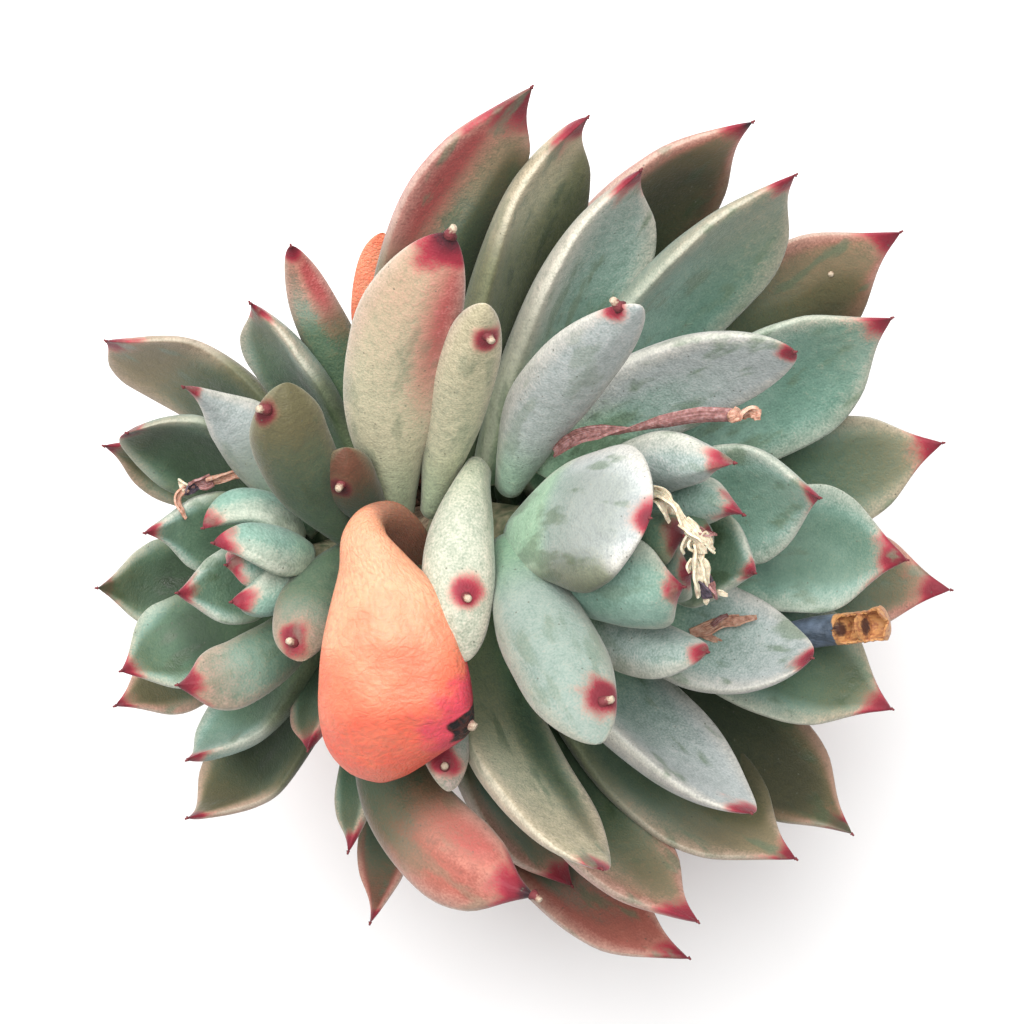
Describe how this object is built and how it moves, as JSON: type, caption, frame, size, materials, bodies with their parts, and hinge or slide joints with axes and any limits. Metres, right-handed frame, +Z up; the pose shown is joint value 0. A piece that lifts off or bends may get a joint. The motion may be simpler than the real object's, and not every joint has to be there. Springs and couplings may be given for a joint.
{
  "type": "potted echeveria",
  "caption": "Potted succulent with two rosettes of fleshy pointed leaves on a forked trunk, standing in a plain round pot.",
  "frame": {"origin": "middle of the pot's flat underside, where the pot stands", "axes": "+Z up; +X towards the large rosette, -X towards the small one; +Y is the top edge of the picture"},
  "size_m": [0.1321, 0.1276, 0.1426],
  "materials": {
    "terracotta": "matt fired clay",
    "soil": "loose gritty potting soil",
    "bark": "dry scarred bark",
    "leaf": "waxy leaf skin with a pale bloom and crimson tips",
    "withered": "wrinkled orange leaf skin",
    "stalk": "smooth stalk with a torn tan end",
    "dry": "papery dry leaf",
    "dry_flower": "papery dry petals"
  },
  "bodies": {
    "root": {"pot": "terracotta", "soil": "soil", "trunk": "bark", "large_head": "leaf", "small_head": "leaf", "withered_leaf": "withered", "withered_leaf_behind": "withered", "flower_stalk": "stalk", "dry_leaf": "dry", "dry_flower": "dry_flower", "dry_bract": "dry", "dry_hook": "dry"}
  },
  "joints": []
}
